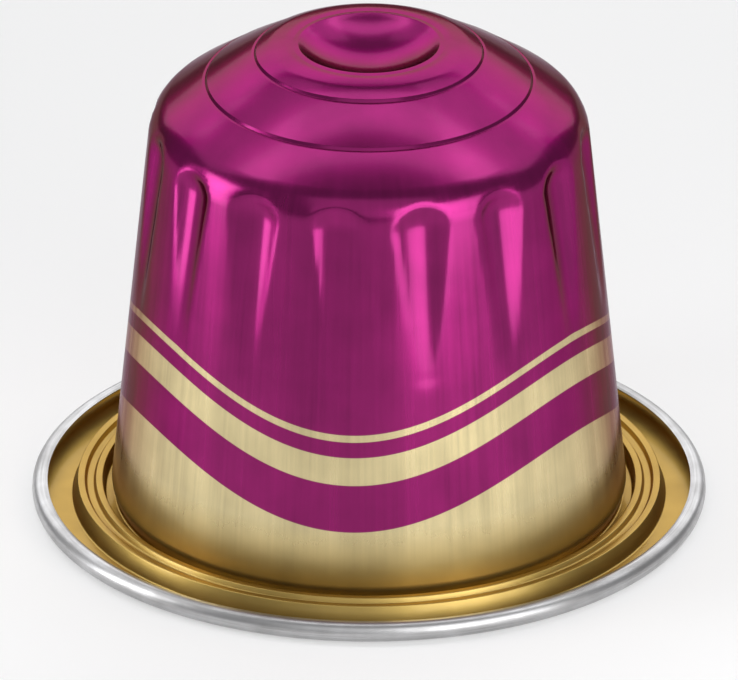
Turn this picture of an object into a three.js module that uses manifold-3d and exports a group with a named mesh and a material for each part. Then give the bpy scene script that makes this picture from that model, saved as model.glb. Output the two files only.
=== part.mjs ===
import * as THREE from "three";
import { mergeVertices } from "three/addons/utils/BufferGeometryUtils.js";
import Module from "manifold-3d";

// Single-serve coffee pod, standing on its sealed mouth with the closed end up.
// A cup deep drawn from thin aluminium: stepped domed end, fluted tapered wall,
// flange with two pressed sealing ridges and an open curl rolled up round its edge.
// A foil lid is sealed to the underside. It is full of ground coffee, so it is solid.
// Millimetres, +Z up, origin on the axis in the plane that the lid rests on.

// Sheet and lid
const sheet = 0.12; // the cup's aluminium
const lidThickness = 0.04; // foil and its sealing lacquer
const lidInset = 0.45; // from the lid's cut edge to where the curl starts to rise

// Flange, from the wall outwards
const troughWidth = 0.47; // floor and flanks between the wall's foot and the inner ridge
const troughUndercut = 0.42; // how far the foot tucks in under the wall
const troughFloorRise = 0.16; // floor of the trough above the flat of the flange
const ridgeWidth = 0.38; // flat top of either sealing ridge
const ridgeHeight = 0.96; // ridge tops above the flat of the flange
const grooveWidth = 0.62; // between the two ridges, at their tops
const grooveDepth = 0.3;
const flankRun = 0.12; // sideways run of the steep flanks in the groove and trough
const outerFlankRun = 0.29; // sideways run of the outer ridge's outer flank
const flangeFlat = 1.67; // from the outer ridge's foot to the curl
const ridgeRounding = 0.07; // outside edges of the ridges
const grooveRounding = 0.12; // inside corners of groove, trough and flange

// Curled edge, an open roll
const curlRadius = 0.56; // over the outside of the sheet
const curlTurn = 212; // degrees, from the underside round to the cut edge

// Wall
const footRadius = 14.28; // where the wall's line meets the flange's flat
const wallTaper = 5.75; // degrees from upright
const wallHeight = 23.1; // flange's flat to the shoulder's sharp corner
const footRounding = 1.1; // the wall's lower corner, where it rolls in
const footRise = 1.0; // height of that corner above the flange's flat
const shoulderRounding = 2.4;

// Stepped domed end, from the shoulder in to the middle
const shoulderSlope = 33.4; // degrees from level
const outerStepRadius = 8.96; // crease between shoulder and inner cone
const innerConeSlope = 30.3; // degrees from level
const innerStepRadius = 6.28; // crease between inner cone and crown
const stepHeight = 0.12; // drop at each crease
const stepRun = 0.1;
const stepRounding = 0.06;
const crownRise = 0.64; // crown's top above the inner crease
const crownFlank = 1.3; // sideways run of the crown's outer side
const crownRounding = 2.6;
const bowlRadius = 3.88; // lip of the round hollow in the crown
const bowlSlope = 38; // degrees from level, at the lip

// Flutes pressed into the wall under the shoulder
const fluteCount = 16;
const firstFlute = -8.5; // degrees from the front, positive to the right
const fluteDrop = 0.05; // top of a flute below the shoulder's sharp corner
const fluteLength = 10.5; // measured up the wall
const punchRadius = 2.4; // the punch's nose at the flute's top
const fluteDepth = 0.52; // at the top
const punchTipRadius = 2.0; // the punch's nose at the flute's lower tip
const fluteTipDepth = 0.12;

// Fineness of the faceted solid
const turnSegments = 72;
const punchSegments = 32;
const arcError = 0.025; // the most that a facet of a rounding departs from its true arc

// Finishes: purple lacquer above the print's edge, gold lacquer below, bare metal on curl and lid
const printEdgeZ = 6.2; // mean height of the lower edge of the purple, over the lid's plane
const purpleLacquer = new THREE.Color("#8c1c64");
const goldLacquer = new THREE.Color("#b49a5e");
const bareAluminium = new THREE.Color("#aaa8a8");
const lacquerRoughness = 0.3;
const lacquerMetalness = 0.85;

// Heights and radii that follow from the sizes above
const flangeTop = lidThickness + sheet;
const ridgeTop = flangeTop + ridgeHeight;
const taper = Math.tan(THREE.MathUtils.degToRad(wallTaper));
const shoulderRadius = footRadius - taper * wallHeight;
const shoulderZ = flangeTop + wallHeight;
const shoulderRise = Math.tan(THREE.MathUtils.degToRad(shoulderSlope));
const outerStepZ = shoulderZ + (shoulderRadius - outerStepRadius) * shoulderRise;
const coneFoot = outerStepRadius - stepRun;
const coneRise = Math.tan(THREE.MathUtils.degToRad(innerConeSlope));
const coneTopZ = outerStepZ + stepHeight + (coneFoot - innerStepRadius) * coneRise;
const crownFoot = innerStepRadius - stepRun;
const crownTopZ = coneTopZ + crownRise;
const ridge1Inner = footRadius - taper * ridgeHeight + troughWidth;
const ridge2Inner = ridge1Inner + ridgeWidth + grooveWidth;
const ridge2Outer = ridge2Inner + ridgeWidth;
const curlCentre = ridge2Outer + outerFlankRun + flangeFlat;
const curlCentreZ = lidThickness + curlRadius;

// Radius of the wall's surface at a height, on its straight stretch.
function wallRadius(z) {
  return footRadius - taper * (z - flangeTop);
}

// Points of an arc from one angle to another in degrees, both ends included.
function arc(centre, radius, from, to) {
  const step = 2 * Math.acos(Math.max(0.5, 1 - arcError / radius));
  const count = Math.ceil(THREE.MathUtils.degToRad(Math.abs(to - from)) / step);
  return Array.from({ length: count + 1 }, (_, i) => {
    const angle = THREE.MathUtils.degToRad(from + ((to - from) * i) / count);
    return new THREE.Vector2(
      centre.x + radius * Math.cos(angle),
      centre.y + radius * Math.sin(angle),
    );
  });
}

// Outline through the corners, each [radius from the axis, height, rounding].
// A rounding is held to less than half of the shorter side that meets it.
function roundedOutline(corners) {
  const points = [];
  corners.forEach(([x, y, rounding], i) => {
    const corner = new THREE.Vector2(x, y);
    if (!rounding) {
      points.push(corner);
      return;
    }
    const back = new THREE.Vector2(corners[i - 1][0] - x, corners[i - 1][1] - y);
    const ahead = new THREE.Vector2(corners[i + 1][0] - x, corners[i + 1][1] - y);
    const room = 0.49 * Math.min(back.length(), ahead.length());
    back.normalize();
    ahead.normalize();
    const half = Math.acos(THREE.MathUtils.clamp(back.dot(ahead), -1, 1)) / 2;
    const cut = Math.min(rounding / Math.tan(half), room);
    const radius = cut * Math.tan(half);
    const middle = back.clone().add(ahead).normalize();
    const centre = middle.multiplyScalar(radius / Math.sin(half)).add(corner);
    const start = back.multiplyScalar(cut).add(corner).sub(centre);
    const end = ahead.multiplyScalar(cut).add(corner).sub(centre);
    const from = THREE.MathUtils.radToDeg(start.angle());
    let to = THREE.MathUtils.radToDeg(end.angle());
    if (to - from > 180) to -= 360;
    if (from - to > 180) to += 360;
    points.push(...arc(centre, radius, from, to));
  });
  return points;
}

// Half section of the pod, from the middle of the lid out to the curl, up the wall and in.
function podOutline() {
  const curlMiddle = new THREE.Vector2(curlCentre, curlCentreZ);
  const curlEnd = curlTurn - 90;
  const lidRadius = curlCentre - lidInset;
  const grooveFloor = ridgeTop - grooveDepth;
  const troughFloor = flangeTop + troughFloorRise;
  const footTuck = wallRadius(flangeTop) - troughUndercut;
  const bowlCurve = bowlRadius / Math.sin(THREE.MathUtils.degToRad(bowlSlope));
  const bowlRise = bowlCurve * Math.cos(THREE.MathUtils.degToRad(bowlSlope));
  const bowlMiddle = new THREE.Vector2(0, crownTopZ + bowlRise);
  return [
    new THREE.Vector2(0, 0),
    new THREE.Vector2(lidRadius, 0),
    new THREE.Vector2(lidRadius, lidThickness),
    ...arc(curlMiddle, curlRadius, -90, curlEnd),
    ...arc(curlMiddle, curlRadius - sheet, curlEnd, -90),
    ...roundedOutline([
      [curlCentre, flangeTop, 0],
      [ridge2Outer + outerFlankRun, flangeTop, grooveRounding],
      [ridge2Outer, ridgeTop, ridgeRounding],
      [ridge2Inner, ridgeTop, ridgeRounding],
      [ridge2Inner - flankRun, grooveFloor, grooveRounding],
      [ridge1Inner + ridgeWidth + flankRun, grooveFloor, grooveRounding],
      [ridge1Inner + ridgeWidth, ridgeTop, ridgeRounding],
      [ridge1Inner, ridgeTop, ridgeRounding],
      [ridge1Inner - flankRun, troughFloor, grooveRounding],
      [footTuck, troughFloor, grooveRounding],
      [wallRadius(flangeTop + footRise), flangeTop + footRise, footRounding],
      [wallRadius(printEdgeZ), printEdgeZ, 0],
      [shoulderRadius, shoulderZ, shoulderRounding],
      [outerStepRadius, outerStepZ, stepRounding],
      [coneFoot, outerStepZ + stepHeight, stepRounding],
      [innerStepRadius, coneTopZ, stepRounding],
      [crownFoot, coneTopZ + stepHeight, stepRounding],
      [crownFoot - crownFlank, crownTopZ, crownRounding],
      [bowlRadius, crownTopZ, 0],
    ]).slice(1, -1),
    ...arc(bowlMiddle, bowlCurve, bowlSlope - 90, -90).slice(0, -1),
    new THREE.Vector2(0, crownTopZ + bowlRise - bowlCurve),
  ];
}

const wasm = await Module();
wasm.setup();

// Closed three.js geometry as a solid that can be cut.
function solidFrom(geometry) {
  const bare = geometry.clone();
  bare.deleteAttribute("normal");
  bare.deleteAttribute("uv");
  const merged = mergeVertices(bare, 1e-5);
  return new wasm.Manifold(
    new wasm.Mesh({
      numProp: 3,
      vertProperties: new Float32Array(merged.attributes.position.array),
      triVerts: new Uint32Array(merged.index.array),
    }),
  );
}

// Colour of the finish at a place on the surface, given from the middle of a face.
function finishAt(middle) {
  const fromCurl = Math.hypot(Math.hypot(middle.x, middle.y) - curlCentre, middle.z - curlCentreZ);
  const outsideOfCurl = fromCurl < curlRadius + sheet && fromCurl > curlRadius - sheet / 2;
  if (outsideOfCurl || middle.z < flangeTop - sheet / 2) return bareAluminium;
  return middle.z > printEdgeZ ? purpleLacquer : goldLacquer;
}

// Solid as a three.js geometry with flat faces, each in the colour of its finish.
function geometryFrom(solid) {
  const mesh = solid.getMesh();
  const shared = new THREE.BufferGeometry();
  shared.setAttribute("position", new THREE.BufferAttribute(mesh.vertProperties, 3));
  shared.setIndex(new THREE.BufferAttribute(mesh.triVerts, 1));
  const geometry = shared.toNonIndexed();
  geometry.computeVertexNormals();
  const position = geometry.attributes.position;
  const colours = new Float32Array(position.count * 3);
  const corner = new THREE.Vector3();
  for (let first = 0; first < position.count; first += 3) {
    const middle = new THREE.Vector3();
    for (let i = first; i < first + 3; i += 1) {
      middle.addScaledVector(corner.fromBufferAttribute(position, i), 1 / 3);
    }
    const colour = finishAt(middle);
    for (let i = first; i < first + 3; i += 1) colour.toArray(colours, i * 3);
  }
  geometry.setAttribute("color", new THREE.BufferAttribute(colours, 3));
  return geometry;
}

// The pod without its flutes, turned about the upright axis.
function turnedBlank() {
  const geometry = new THREE.LatheGeometry(podOutline(), turnSegments);
  geometry.rotateX(Math.PI / 2);
  return solidFrom(geometry);
}

// Centre of a punch nose that sinks to the given depth into the wall at a height.
function noseCentre(z, radius, depth) {
  const out = new THREE.Vector2(1, taper).normalize();
  return out.multiplyScalar(radius - depth).add(new THREE.Vector2(wallRadius(z), z));
}

// Half width of the mark that a round nose leaves in a flat wall.
function markHalfWidth(radius, depth) {
  return Math.sqrt(2 * radius * depth - depth * depth);
}

// Tapered round-ended punch, leaning so that it bites deepest at the flute's top.
function flutePunch() {
  const topZ = shoulderZ - fluteDrop - markHalfWidth(punchRadius, fluteDepth);
  const tipZ = shoulderZ - fluteDrop - fluteLength + markHalfWidth(punchTipRadius, fluteTipDepth);
  const top = noseCentre(topZ, punchRadius, fluteDepth);
  const tip = noseCentre(tipZ, punchTipRadius, fluteTipDepth);
  const length = top.distanceTo(tip);
  const side = THREE.MathUtils.radToDeg(Math.asin((punchRadius - punchTipRadius) / length));
  const outline = [
    ...arc(new THREE.Vector2(0, 0), punchTipRadius, -90, -side),
    ...arc(new THREE.Vector2(0, length), punchRadius, -side, 90),
  ];
  outline[0].x = 0;
  outline.at(-1).x = 0;
  const punch = new THREE.LatheGeometry(outline, punchSegments);
  const lean = Math.atan2(tip.x - top.x, top.y - tip.y);
  punch.rotateX(Math.PI / 2);
  punch.rotateY(-lean);
  punch.translate(tip.x, 0, tip.y);
  return punch;
}

// The blank with a ring of flutes pressed in.
function flutedPod() {
  let pod = turnedBlank();
  for (let i = 0; i < fluteCount; i += 1) {
    const turn = firstFlute - 90 + (i * 360) / fluteCount;
    const punch = flutePunch().rotateZ(THREE.MathUtils.degToRad(turn));
    pod = pod.subtract(solidFrom(punch));
  }
  return pod;
}

const lacqueredAluminium = new THREE.MeshStandardMaterial({
  vertexColors: true,
  roughness: lacquerRoughness,
  metalness: lacquerMetalness,
});
const sealedPod = new THREE.Mesh(geometryFrom(flutedPod()), lacqueredAluminium);
sealedPod.name = "sealed_pod";

const coffeePod = new THREE.Group();
coffeePod.add(sealedPod);

export default coffeePod;
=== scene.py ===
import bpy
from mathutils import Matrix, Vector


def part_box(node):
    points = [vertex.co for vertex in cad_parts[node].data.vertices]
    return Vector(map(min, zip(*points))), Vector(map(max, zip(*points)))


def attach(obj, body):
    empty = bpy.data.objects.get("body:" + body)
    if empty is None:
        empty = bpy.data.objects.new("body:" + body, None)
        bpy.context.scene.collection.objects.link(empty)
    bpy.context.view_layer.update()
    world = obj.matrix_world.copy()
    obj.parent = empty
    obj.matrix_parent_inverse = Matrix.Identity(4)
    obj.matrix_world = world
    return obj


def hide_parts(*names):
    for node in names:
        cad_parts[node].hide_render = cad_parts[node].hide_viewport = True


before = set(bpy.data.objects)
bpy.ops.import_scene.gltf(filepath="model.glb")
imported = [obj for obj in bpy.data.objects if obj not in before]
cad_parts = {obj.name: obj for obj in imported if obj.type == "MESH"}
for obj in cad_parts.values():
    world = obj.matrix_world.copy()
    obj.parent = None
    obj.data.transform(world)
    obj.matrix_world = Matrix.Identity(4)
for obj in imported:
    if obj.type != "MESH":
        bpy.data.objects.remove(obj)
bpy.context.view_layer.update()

import math

import bpy
import numpy as np
from mathutils import Vector

# The camera
# It looks at the pod from the front and above, through a long lens, so the rings stay
# nearly true ellipses. Sizes are in millimetres, turned to metres where they are used.
mm = 0.001
image_width_px = 738
view_px_per_mm = 18.21
view_distance_mm = 1200
view_elevation = math.radians(25.91)
view_height_mm = 9.46

camera_data = bpy.data.cameras.new("view_camera")
camera = bpy.data.objects.new("view_camera", camera_data)
bpy.context.scene.collection.objects.link(camera)
bpy.context.scene.camera = camera
camera_data.sensor_width = 36.0
camera_data.lens = view_px_per_mm * view_distance_mm * camera_data.sensor_width / image_width_px
camera_data.clip_start = 0.05
camera_data.clip_end = 5.0
look_at = Vector((0, 0, view_height_mm * mm))
towards_camera = Vector((0, -math.cos(view_elevation), math.sin(view_elevation)))
camera.location = look_at + towards_camera * view_distance_mm * mm
camera.rotation_euler = towards_camera.to_track_quat("Z", "Y").to_euler()

# The table top
# A wide sheet of matt white board, a hair below the pod. A share of its white comes from
# Light Path, the same for the camera and for reflections, and the rest keeps the shadow.


def linear(hex_colour):
    """An sRGB colour such as 8c1c62 as linear red, green, blue and alpha."""
    parts = [int(hex_colour[i:i + 2], 16) / 255 for i in (0, 2, 4)]
    return [p / 12.92 if p <= 0.04045 else ((p + 0.055) / 1.055) ** 2.4 for p in parts] + [1.0]


def set_inputs(material, node, inputs):
    """Give each input a plain value, or link it to an output or to a node's first output."""
    for name, source in inputs.items():
        if hasattr(source, "outputs"):
            source = next(output for output in source.outputs if output.enabled)
        if hasattr(source, "is_output"):
            material.node_tree.links.new(source, node.inputs[name])
        else:
            node.inputs[name].default_value = source


def add_node(material, kind, inputs, **settings):
    """Add a node with its settings and inputs."""
    node = material.node_tree.nodes.new("ShaderNode" + kind)
    for name, value in settings.items():
        setattr(node, name, value)
    set_inputs(material, node, inputs)
    return node


def new_material(name):
    """A material that holds one Principled shader, and that shader."""
    material = bpy.data.materials.new(name)
    material.use_nodes = True
    return material, material.node_tree.nodes["Principled BSDF"]


board_width = 1800
board_drop = 0.02
board_glow = 0.40
bpy.ops.object.select_all(action="DESELECT")
bpy.ops.mesh.primitive_plane_add(size=board_width * mm, location=(0, 0, -board_drop * mm))
board = bpy.context.object
board.name = "table_top"
board_paper, board_shader = new_material("matt_white_board")
set_inputs(board_paper, board_shader, {
    "Base Color": linear("f6f6f6"),
    "Roughness": 0.9,
    "Specular IOR Level": 0.0,
})
ray = add_node(board_paper, "LightPath", {})
seen = add_node(board_paper, "Math", {0: ray.outputs["Is Camera Ray"], 1: ray.outputs["Is Glossy Ray"]},
                operation="MAXIMUM")
seen_at_all = add_node(board_paper, "Math", {0: seen, 1: ray.outputs["Is Transmission Ray"]},
                       operation="MAXIMUM")
glow_share = add_node(board_paper, "Math", {0: seen_at_all, 1: board_glow}, operation="MULTIPLY")
white_glow = add_node(board_paper, "Emission", {"Color": linear("ffffff"), "Strength": 1.0})
board_surface = add_node(board_paper, "MixShader", {"Fac": glow_share, 1: board_shader, 2: white_glow})
set_inputs(board_paper, board_paper.node_tree.nodes["Material Output"], {"Surface": board_surface})
board.data.materials.append(board_paper)

# The lights
# Plain soft studio light: boxes overhead, behind, in front and high on both sides, in an even
# grey room. Two small boxes stand close beside the pod, out of view, and give its wall upright
# bright streaks. A level of 1 is as bright as white board.


def softbox(name, azimuth, elevation, distance, width, height, level, beam=180):
    """An area lamp, sizes in metres, that faces the pod. Azimuth 0 is the camera's side."""
    lamp = bpy.data.lights.new(name, "AREA")
    lamp.shape = "RECTANGLE"
    lamp.size = width
    lamp.size_y = height
    lamp.energy = level * math.pi * width * height
    lamp.spread = math.radians(beam)
    stand = bpy.data.objects.new(name, lamp)
    bpy.context.scene.collection.objects.link(stand)
    around = math.radians(azimuth)
    up = math.radians(elevation)
    towards = Vector((math.sin(around) * math.cos(up), -math.cos(around) * math.cos(up), math.sin(up)))
    stand.location = look_at + towards * distance
    stand.rotation_euler = towards.to_track_quat("Z", "Y").to_euler()
    stand.visible_camera = False


softbox("overhead_strip", azimuth=180, elevation=82, distance=0.55, width=0.80, height=0.14, level=1.7)
softbox("high_right_box", azimuth=118, elevation=50, distance=0.60, width=0.34, height=0.34, level=0.9)
softbox("high_left_box", azimuth=-118, elevation=50, distance=0.60, width=0.34, height=0.34, level=0.6)
softbox("back_box", azimuth=180, elevation=30, distance=0.70, width=1.10, height=0.46, level=1.6)
softbox("front_box", azimuth=0, elevation=34, distance=0.90, width=0.90, height=0.80, level=0.55)
softbox("right_card", azimuth=36, elevation=14, distance=0.075, width=0.058, height=0.055, level=1.25,
        beam=110)
softbox("left_card", azimuth=-80, elevation=14, distance=0.075, width=0.026, height=0.055, level=1.9,
        beam=110)

room = bpy.data.worlds.new("grey_room")
room.use_nodes = True
room.node_tree.nodes["Background"].inputs["Color"].default_value = linear("949496")
bpy.context.scene.world = room
bpy.context.scene.view_settings.view_transform = "Standard"

# The cup
# One sheet of aluminium, lacquered on its outer face and deep drawn with the closed end up.
# The end is stepped and hollowed, the wall is fluted under the shoulder, and the mouth turns
# out into a flange with two pressed sealing ridges, whose edge is rolled up into an open curl.
pod_low, pod_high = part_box("sealed_pod")
rim_radius = pod_high[0] / mm
crown_top = pod_high[2] / mm
sheet = 0.12
lid_thickness = 0.04
flange_top = lid_thickness + sheet

# The open curl, the flat ledge inside it, the two ridges and the trough at the wall's foot
curl_radius = 0.56
curl_turn = 212
curl_centre = rim_radius - curl_radius
curl_centre_z = lid_thickness + curl_radius
ledge_width = 1.67
outer_flank_run = 0.29
ridge_width = 0.38
ridge_height = 0.96
ridge_rounding = 0.07
groove_width = 0.62
groove_depth = 0.30
groove_rounding = 0.12
flank_run = 0.12
trough_height = 0.16
ridge_foot = curl_centre - ledge_width
ridge2_outer = ridge_foot - outer_flank_run
ridge2_inner = ridge2_outer - ridge_width
ridge1_outer = ridge2_inner - groove_width
ridge1_inner = ridge1_outer - ridge_width
ridge_top = flange_top + ridge_height
groove_floor = ridge_top - groove_depth
trough_floor = flange_top + trough_height

# The tapered wall and its shoulder
foot_radius = 14.28
taper = math.tan(math.radians(5.75))
foot_height = 1.0
foot_rounding = 1.1
foot_tuck = 0.42
wall_height = 23.1
shoulder_slope = math.tan(math.radians(33.4))
shoulder_rounding = 2.4
foot_z = flange_top + foot_height
shoulder_z = flange_top + wall_height
shoulder_radius = foot_radius - taper * wall_height

# The two steps of the domed end. Each ends in a crease with a narrow ledge outside it.
step_height = 0.12
step_run = 0.10
step_rounding = 0.06
crease_depth = 0.05
crease_rounding = 0.05
crease_ledge = 0.14
ledge_rounding = 0.12
outer_step_radius = 8.96
outer_step_z = shoulder_z + (shoulder_radius - outer_step_radius) * shoulder_slope
inner_step_radius = 6.28
crown_rise = 0.64
cone_top_z = crown_top - crown_rise

# The crown, a low round bead whose middle is pressed in to a bowl
crown_flank = 0.75
crown_rounding = 1.2
crown_foot = inner_step_radius - step_run
crown_shoulder = crown_foot - crown_flank
bead_radius = 4.55
bead_drop = 0.01
bead_fall = 0.17
lip_rounding = 0.10
lip_dip = 0.05
lip_dip_run = 0.28
lip_dip_rounding = 0.25
bowl_radius = 3.88
bowl_slope = 38
bowl_curve = bowl_radius / math.sin(math.radians(bowl_slope))
bowl_middle_z = crown_top + bowl_curve * math.cos(math.radians(bowl_slope))

# Degrees between the points of an arc, which are wider apart where its radius is small, and
# the share of a side that one rounding may take
arc_step = 9.0
small_arc = 0.5
small_arc_step = 18.0
rounding_share = 0.49
curl_step = 13.0
bowl_step = 3.0


def wall_radius(z):
    """Radius of the wall's straight stretch at a height."""
    return foot_radius - taper * (z - flange_top)


def arc(centre, radius, start, end, step):
    """Points of an arc between two angles, no more than step degrees apart."""
    count = max(2, math.ceil(abs(end - start) / step))
    angles = np.radians(np.linspace(start, end, count + 1))
    return [(centre[0] + radius * math.cos(a), centre[1] + radius * math.sin(a)) for a in angles]


def rounded(corners):
    """The line through the corners, each (radius, height, rounding), with its roundings as arcs."""
    points = []
    for i, (x, z, rounding) in enumerate(corners):
        if not rounding:
            points.append((x, z))
            continue
        corner = Vector((x, z))
        back = Vector(corners[i - 1][:2]) - corner
        ahead = Vector(corners[i + 1][:2]) - corner
        room_left = rounding_share * min(back.length, ahead.length)
        back.normalize()
        ahead.normalize()
        half = math.acos(max(-1.0, min(1.0, back.dot(ahead)))) / 2
        cut = min(rounding / math.tan(half), room_left)
        radius = cut * math.tan(half)
        centre = corner + (back + ahead).normalized() * radius / math.sin(half)
        start = corner + back * cut - centre
        end = corner + ahead * cut - centre
        first = math.degrees(math.atan2(start.y, start.x))
        turn = (math.degrees(math.atan2(end.y, end.x)) - first + 180) % 360 - 180
        step = arc_step if radius > small_arc else small_arc_step
        points += arc(centre, radius, first, first + turn, step)
    return points


def closely_spaced(points, step):
    """The same line with extra points, no more than step apart."""
    spaced = [points[0]]
    for before, after in zip(points, points[1:]):
        count = max(1, math.ceil(math.dist(before, after) / step))
        spaced += [tuple(np.add(before, np.subtract(after, before) * k / count))
                   for k in range(1, count + 1)]
    return spaced


# The sheet's outer face as one line of (radius, height), from the middle of the bowl out over
# the domed end, down the wall and across the flange, and then the inside of the curl.
flute_zone_low = 11.6
flute_row = 0.24
bowl = arc((0, bowl_middle_z), bowl_curve, -90, bowl_slope - 90, bowl_step)
bowl[0] = (0, bowl[0][1])
cup_end = bowl[:-2] + rounded([
    (*bowl[-2], 0),
    (bowl_radius, crown_top, lip_rounding),
    (bowl_radius + lip_dip_run, crown_top - lip_dip, lip_dip_rounding),
    (bead_radius, crown_top - bead_drop, crown_rounding),
    (crown_shoulder, crown_top - bead_fall, crown_rounding),
    (crown_foot, cone_top_z + step_height, step_rounding),
    (inner_step_radius, cone_top_z - crease_depth, crease_rounding),
    (inner_step_radius + crease_ledge, cone_top_z - crease_depth, ledge_rounding),
    (outer_step_radius - step_run, outer_step_z + step_height, step_rounding),
    (outer_step_radius, outer_step_z - crease_depth, crease_rounding),
    (outer_step_radius + crease_ledge, outer_step_z - crease_depth, ledge_rounding),
    (shoulder_radius, shoulder_z, shoulder_rounding),
    (wall_radius(flute_zone_low), flute_zone_low, 0),
])
fluted_wall = closely_spaced(cup_end[-2:], flute_row)
cup_mouth = rounded([
    (wall_radius(flute_zone_low), flute_zone_low, 0),
    (wall_radius(foot_z), foot_z, foot_rounding),
    (wall_radius(flange_top) - foot_tuck, trough_floor, groove_rounding),
    (ridge1_inner - flank_run, trough_floor, groove_rounding),
    (ridge1_inner, ridge_top, ridge_rounding),
    (ridge1_outer, ridge_top, ridge_rounding),
    (ridge1_outer + flank_run, groove_floor, groove_rounding),
    (ridge2_inner - flank_run, groove_floor, groove_rounding),
    (ridge2_inner, ridge_top, ridge_rounding),
    (ridge2_outer, ridge_top, ridge_rounding),
    (ridge_foot, flange_top, groove_rounding),
    (curl_centre, flange_top, 0),
])
curl_inside = arc((curl_centre, curl_centre_z), curl_radius - sheet, -90, curl_turn - 90, curl_step)
cup_section = cup_end[:-2] + fluted_wall + cup_mouth[1:-1] + curl_inside


def draw_line(name, points):
    """A new object that holds one open line of edges in the XZ plane, extruded point by point."""
    bpy.ops.object.select_all(action="DESELECT")
    bpy.ops.mesh.primitive_plane_add(size=mm)
    made = bpy.context.object
    made.name = name
    bpy.ops.object.mode_set(mode="EDIT")
    bpy.ops.mesh.merge(type="CENTER")
    here = Vector((0, 0, 0))
    for number, (x, z) in enumerate(points):
        there = Vector((x, 0, z)) * mm
        if number:
            bpy.ops.mesh.extrude_region_move(TRANSFORM_OT_translate={"value": there - here})
        else:
            bpy.ops.transform.translate(value=there)
        here = there
    return made


turn_steps = 288
merge_distance = 0.0002


def spin_line():
    """Turn the line that is open in edit mode about the upright axis into a skin."""
    bpy.ops.mesh.select_all(action="SELECT")
    bpy.ops.mesh.spin(steps=turn_steps, angle=math.tau, center=(0, 0, 0), axis=(0, 0, 1))
    bpy.ops.mesh.select_all(action="SELECT")
    bpy.ops.mesh.remove_doubles(threshold=merge_distance * mm)
    bpy.ops.mesh.normals_make_consistent(inside=False)
    bpy.ops.object.mode_set(mode="OBJECT")


cup = draw_line("cup", cup_section)
spin_line()

# Each flute is the mark of a round-nosed punch that leans, so it is widest and bites deepest
# under the shoulder. Width and depth are given at the tip and at the top.
flute_count = 16
first_flute = math.radians(-8.5)
flute_half_width = (0.60, 1.49)
flute_depth = (0.05, 0.55)
flute_length = 10.5
flute_top_gap = 0.05
flute_tip_reach = 0.68
flute_edge_softness = 0.05
least_radius = 1e-6
flute_top = shoulder_z - flute_top_gap
flute_top_centre = flute_top - flute_half_width[1]
flute_tip_centre = flute_top - flute_length + flute_tip_reach


def press_flutes(points):
    """Move the points of the wall, in millimetres, in to the faces of the punches."""
    radius = np.hypot(points[:, 0], points[:, 1])
    azimuth = np.arctan2(points[:, 0], -points[:, 1])
    pitch = math.tau / flute_count
    off_centre = (azimuth - first_flute + pitch / 2) % pitch - pitch / 2
    z = points[:, 2]
    along = np.clip((z - flute_tip_centre) / (flute_top_centre - flute_tip_centre), 0, 1)
    beyond = z - (flute_tip_centre + along * (flute_top_centre - flute_tip_centre))
    half_width = np.interp(along, (0, 1), flute_half_width)
    depth = np.interp(along, (0, 1), flute_depth)
    reach = np.hypot(off_centre * radius, beyond) / half_width
    punch = wall_radius(z) - depth * (1 - reach ** 2)
    gap = punch - radius
    pressed = radius + 0.5 * (gap - np.sqrt(gap ** 2 + flute_edge_softness ** 2))
    touched = z > flute_zone_low
    ratio = np.where(touched, pressed / np.maximum(radius, least_radius), 1.0)
    points[:, 0] *= ratio
    points[:, 1] *= ratio
    return points


cup_points = np.empty(len(cup.data.vertices) * 3)
cup.data.vertices.foreach_get("co", cup_points)
cup_points = press_flutes(cup_points.reshape(-1, 3) / mm) * mm
cup.data.vertices.foreach_set("co", cup_points.ravel())

# Coloured lacquer over drawn aluminium
# A tinted clear lacquer, baked on the rolled sheet before it is drawn. The metal shines through
# it, so the eye sees a coloured metal with a soft gloss, purple above a printed wave and gold
# below, and fine upright drawing lines that break the highlights on the wall into streaks.
lacquer, lacquer_shader = new_material("coloured_lacquer_on_drawn_aluminium")
place = add_node(lacquer, "TexCoord", {}).outputs["Object"]
axes = add_node(lacquer, "SeparateXYZ", {"Vector": place})
height = axes.outputs["Z"]
front_facing = add_node(lacquer, "Math", {0: axes.outputs["Y"], 1: -1.0}, operation="MULTIPLY")
azimuth = add_node(lacquer, "Math", {0: axes.outputs["X"], 1: front_facing}, operation="ARCTAN2")

# The print's edges follow one wave round the wall, three times up and down.
wave_count = 3
wave_rise = 1.5
wave_middle = 6.0
wave_phase = 0.25
print_sharpness = 0.02
waves = add_node(lacquer, "Math", {0: azimuth, 1: wave_count, 2: wave_phase}, operation="MULTIPLY_ADD")
swing = add_node(lacquer, "Math", {0: waves}, operation="COSINE")
edge = add_node(lacquer, "Math", {0: swing, 1: -wave_rise * mm, 2: wave_middle * mm},
                operation="MULTIPLY_ADD")
above_edge = add_node(lacquer, "Math", {0: height, 1: edge}, operation="SUBTRACT")


def band(low, high):
    """1 where the height above the wave lies between two sizes in millimetres, and 0 elsewhere."""
    sides = [
        add_node(lacquer, "MapRange", {
            "Value": above_edge,
            "From Min": (size - print_sharpness) * mm,
            "From Max": (size + print_sharpness) * mm,
            "To Min": before,
            "To Max": after,
        })
        for size, before, after in ((low, 0.0, 1.0), (high, 1.0, 0.0))
    ]
    return add_node(lacquer, "Math", {0: sides[0], 1: sides[1]}, operation="MULTIPLY")


above_the_pod = 60.0
wide_stripe = band(0.0, 2.7)
narrow_stripe = band(4.3, 5.2)
upper_wall = band(5.6, above_the_pod)
stripes = add_node(lacquer, "Math", {0: wide_stripe, 1: narrow_stripe}, operation="ADD")
purple_share = add_node(lacquer, "Math", {0: stripes, 1: upper_wall}, operation="ADD")

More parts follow.
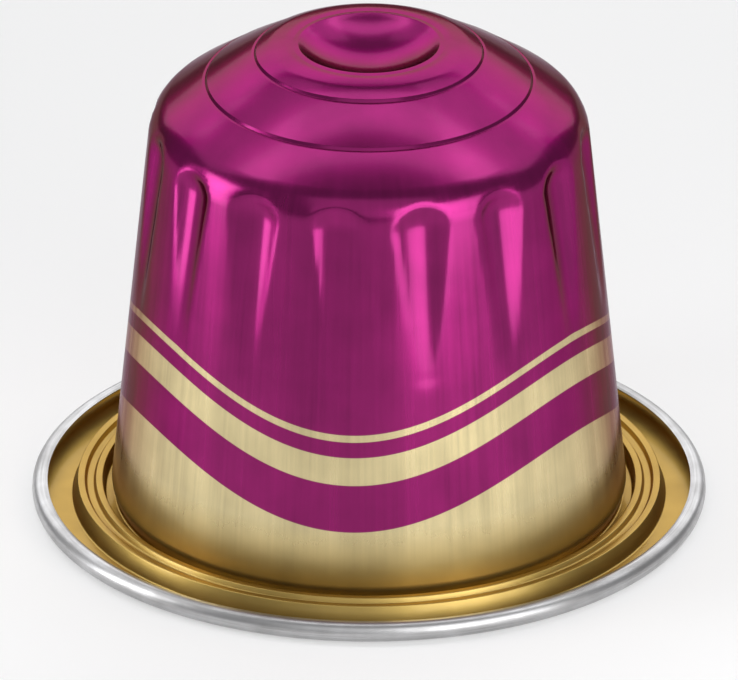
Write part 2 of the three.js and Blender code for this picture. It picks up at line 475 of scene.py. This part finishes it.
# The flange and the wall's foot are painted a deeper gold that fades out up the wall, a painted reflection
# of the gold parts in each other. The flange has neither the wall's lines nor its full gloss.
foot_fade = (1.4, 4.5)
on_wall = add_node(lacquer, "MapRange", {
    "Value": height,
    "From Min": (flange_top + foot_fade[0]) * mm,
    "From Max": (flange_top + foot_fade[1]) * mm,
})
gold_with_painted_reflection = add_node(lacquer, "Mix", {"Factor": on_wall, "A": linear("ba9e58"), "B": linear("d3c395")},
                       data_type="RGBA")
lacquer_colour = add_node(lacquer, "Mix", {"Factor": purple_share, "A": gold_with_painted_reflection, "B": linear("8c1c62")},
                          data_type="RGBA")

# Real drawing lines are some hundredths of a millimetre wide, too fine to show, so they are
# drawn about ten times as coarse. Broader streaks and a soft mottle lie over them.
streak_width = 0.32
broad_streak_width = 1.6
streak_stretch = 0.025
mottle_size = 2.6
level_place = add_node(lacquer, "VectorMath", {0: place, 1: (1, 1, 0)}, operation="MULTIPLY")
outwards = add_node(lacquer, "VectorMath", {0: level_place}, operation="NORMALIZE")
around_wall = add_node(lacquer, "VectorMath", {0: outwards, 1: (foot_radius * mm, foot_radius * mm, 0)},
                       operation="MULTIPLY")
streak_place = add_node(lacquer, "VectorMath", {0: place, 1: (0, 0, streak_stretch), 2: around_wall},
                        operation="MULTIPLY_ADD")
streaks = add_node(lacquer, "TexNoise", {
    "Vector": streak_place,
    "Scale": 1 / (streak_width * mm),
    "Detail": 3.0,
    "Roughness": 0.65,
})
broad_streaks = add_node(lacquer, "TexNoise", {
    "Vector": streak_place,
    "Scale": 1 / (broad_streak_width * mm),
    "Detail": 2.0,
})
mottle = add_node(lacquer, "TexNoise", {"Vector": place, "Scale": 1 / (mottle_size * mm), "Detail": 2.0})
streak_sum = add_node(lacquer, "Math", {0: streaks, 1: broad_streaks}, operation="ADD")

# The domed end is hardly drawn, so the lines fade over the shoulder.
shoulder_fade = (-2.0, 1.5)
under_shoulder = add_node(lacquer, "MapRange", {
    "Value": height,
    "From Min": (shoulder_z + shoulder_fade[0]) * mm,
    "From Max": (shoulder_z + shoulder_fade[1]) * mm,
    "To Min": 1.0,
    "To Max": 0.15,
})
drawn = add_node(lacquer, "Math", {0: on_wall, 1: under_shoulder}, operation="MULTIPLY")
wall_streaks = add_node(lacquer, "Mix", {"Factor": drawn, "A": 1.0, "B": streak_sum}, data_type="FLOAT")
surface_sum = add_node(lacquer, "Math", {0: wall_streaks, 1: mottle}, operation="ADD")
shade = add_node(lacquer, "MapRange", {
    "Value": surface_sum,
    "From Min": 1.0,
    "From Max": 2.0,
    "To Min": 0.78,
    "To Max": 1.22,
})
shaded_colour = add_node(lacquer, "Mix", {"Factor": 1.0, "A": lacquer_colour, "B": shade},
                         data_type="RGBA", blend_type="MULTIPLY")
flange_roughness = add_node(lacquer, "MapRange", {
    "Value": wall_streaks,
    "From Min": 0.7,
    "From Max": 1.3,
    "To Min": 0.36,
    "To Max": 0.46,
})
wall_smoother_by = 0.17
roughness = add_node(lacquer, "Math", {0: on_wall, 1: -wall_smoother_by, 2: flange_roughness},
                     operation="MULTIPLY_ADD")
line_depth = 0.012
line_height = add_node(lacquer, "Math", {0: streaks, 1: drawn}, operation="MULTIPLY")
drawing_lines = add_node(lacquer, "Bump", {
    "Height": line_height,
    "Strength": 0.04,
    "Distance": line_depth * mm,
})
set_inputs(lacquer, lacquer_shader, {
    "Base Color": shaded_colour,
    "Roughness": roughness,
    "Normal": drawing_lines,
    "Metallic": 1.0,
    "Specular Tint": linear("8a5070"),
    "Coat Weight": 0.2,
    "Coat Roughness": 0.12,
})
cup.data.materials.append(lacquer)

# Bright rolled aluminium
# The sheet's inner face has no colour, and the curl turns it outwards. Rolling leaves it a pale
# grey satin. The fine lines round the curl are drawn coarser than real, so that they show.
bare, bare_shader = new_material("bright_rolled_aluminium")
ring_width = 0.09
ring_depth = 0.01
ring_stretch = 0.02
smear_size = 1.8
bare_place = add_node(bare, "TexCoord", {}).outputs["Object"]
bare_level = add_node(bare, "VectorMath", {0: bare_place, 1: (1, 1, 0)}, operation="MULTIPLY")
from_axis = add_node(bare, "VectorMath", {0: bare_level}, operation="LENGTH")
across_rings = add_node(bare, "CombineXYZ", {"Z": from_axis})
ring_place = add_node(bare, "VectorMath", {
    0: bare_place,
    1: (ring_stretch, ring_stretch, 1),
    2: across_rings,
}, operation="MULTIPLY_ADD")
rings = add_node(bare, "TexNoise", {"Vector": ring_place, "Scale": 1 / (ring_width * mm), "Detail": 3.0})
smears = add_node(bare, "TexNoise", {"Vector": bare_place, "Scale": 1 / (smear_size * mm), "Detail": 3.0})
bare_pattern = add_node(bare, "Math", {0: rings, 1: smears}, operation="ADD")
bare_share = add_node(bare, "MapRange", {"Value": bare_pattern, "From Min": 0.7, "From Max": 1.3})
bare_colour = add_node(bare, "Mix", {"Factor": bare_share, "A": linear("a3a2a2"), "B": linear("c3c3c4")},
                       data_type="RGBA")
bare_roughness = add_node(bare, "MapRange", {
    "Value": bare_pattern,
    "From Min": 0.7,
    "From Max": 1.3,
    "To Min": 0.42,
    "To Max": 0.30,
})
ring_lines = add_node(bare, "Bump", {"Height": rings, "Strength": 0.15, "Distance": ring_depth * mm})
set_inputs(bare, bare_shader, {
    "Base Color": bare_colour,
    "Roughness": bare_roughness,
    "Normal": ring_lines,
    "Metallic": 1.0,
})
cup.data.materials.append(bare)

# The sheet's thickness goes to its inner face, which takes the second material.
cup_sharp_edge = 38
thickness = cup.modifiers.new("sheet", "SOLIDIFY")
thickness.thickness = sheet * mm
thickness.offset = -1
thickness.material_offset = 1
thickness.material_offset_rim = 1
bpy.ops.object.modifier_apply(modifier=thickness.name)
bpy.ops.object.shade_smooth_by_angle(angle=math.radians(cup_sharp_edge))
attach(cup, "root")
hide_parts("sealed_pod")

# The foil lid
# A disc of thin soft aluminium foil, heat sealed to the underside of the flange, which it
# closes. The sealing tool leaves a shallow pressed ring near its edge.
lid_inset = 0.45
lid_radius = curl_centre - lid_inset
seal_margin = 0.25
seal_width = 1.3
seal_outer = lid_radius - seal_margin
seal_inner = seal_outer - seal_width
seal_depth = 0.02
seal_edge = 0.06
lid_sharp_edge = 12
lid = draw_line("foil_lid", [
    (0, 0.0),
    (seal_inner - seal_edge, 0.0),
    (seal_inner, seal_depth),
    (seal_outer, seal_depth),
    (seal_outer + seal_edge, 0.0),
    (lid_radius, 0.0),
    (lid_radius, lid_thickness),
    (0, lid_thickness),
])
spin_line()
bpy.ops.object.shade_smooth_by_angle(angle=math.radians(lid_sharp_edge))

# Satin rolled foil
# Thin rolling gives the foil a soft gloss with a fine grain one way, and handling gives it a
# few soft wrinkles. The real grain is too fine to show, so it is drawn a tenth of a millimetre.
foil, foil_shader = new_material("satin_rolled_foil")
grain_width = 0.10
grain_stretch = 0.03
wrinkle_size = 3.5
wrinkle_to_grain = 12.0
relief_depth = 0.004
foil_place = add_node(foil, "TexCoord", {}).outputs["Object"]
grain_place = add_node(foil, "VectorMath", {0: foil_place, 1: (1, grain_stretch, 1)}, operation="MULTIPLY")
grain = add_node(foil, "TexNoise", {"Vector": grain_place, "Scale": 1 / (grain_width * mm), "Detail": 3.0})
wrinkles = add_node(foil, "TexNoise", {
    "Vector": foil_place,
    "Scale": 1 / (wrinkle_size * mm),
    "Detail": 3.0,
})
foil_colour = add_node(foil, "Mix", {"Factor": grain, "A": linear("b4b5b7"), "B": linear("d9dadc")},
                       data_type="RGBA")
foil_roughness = add_node(foil, "MapRange", {"Value": grain, "To Min": 0.50, "To Max": 0.26})
foil_height = add_node(foil, "Math", {0: wrinkles, 1: wrinkle_to_grain, 2: grain},
                       operation="MULTIPLY_ADD")
foil_relief = add_node(foil, "Bump", {
    "Height": foil_height,
    "Strength": 0.3,
    "Distance": relief_depth * mm,
})
set_inputs(foil, foil_shader, {
    "Base Color": foil_colour,
    "Roughness": foil_roughness,
    "Normal": foil_relief,
    "Metallic": 1.0,
})
lid.data.materials.append(foil)
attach(lid, "root")
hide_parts("sealed_pod")
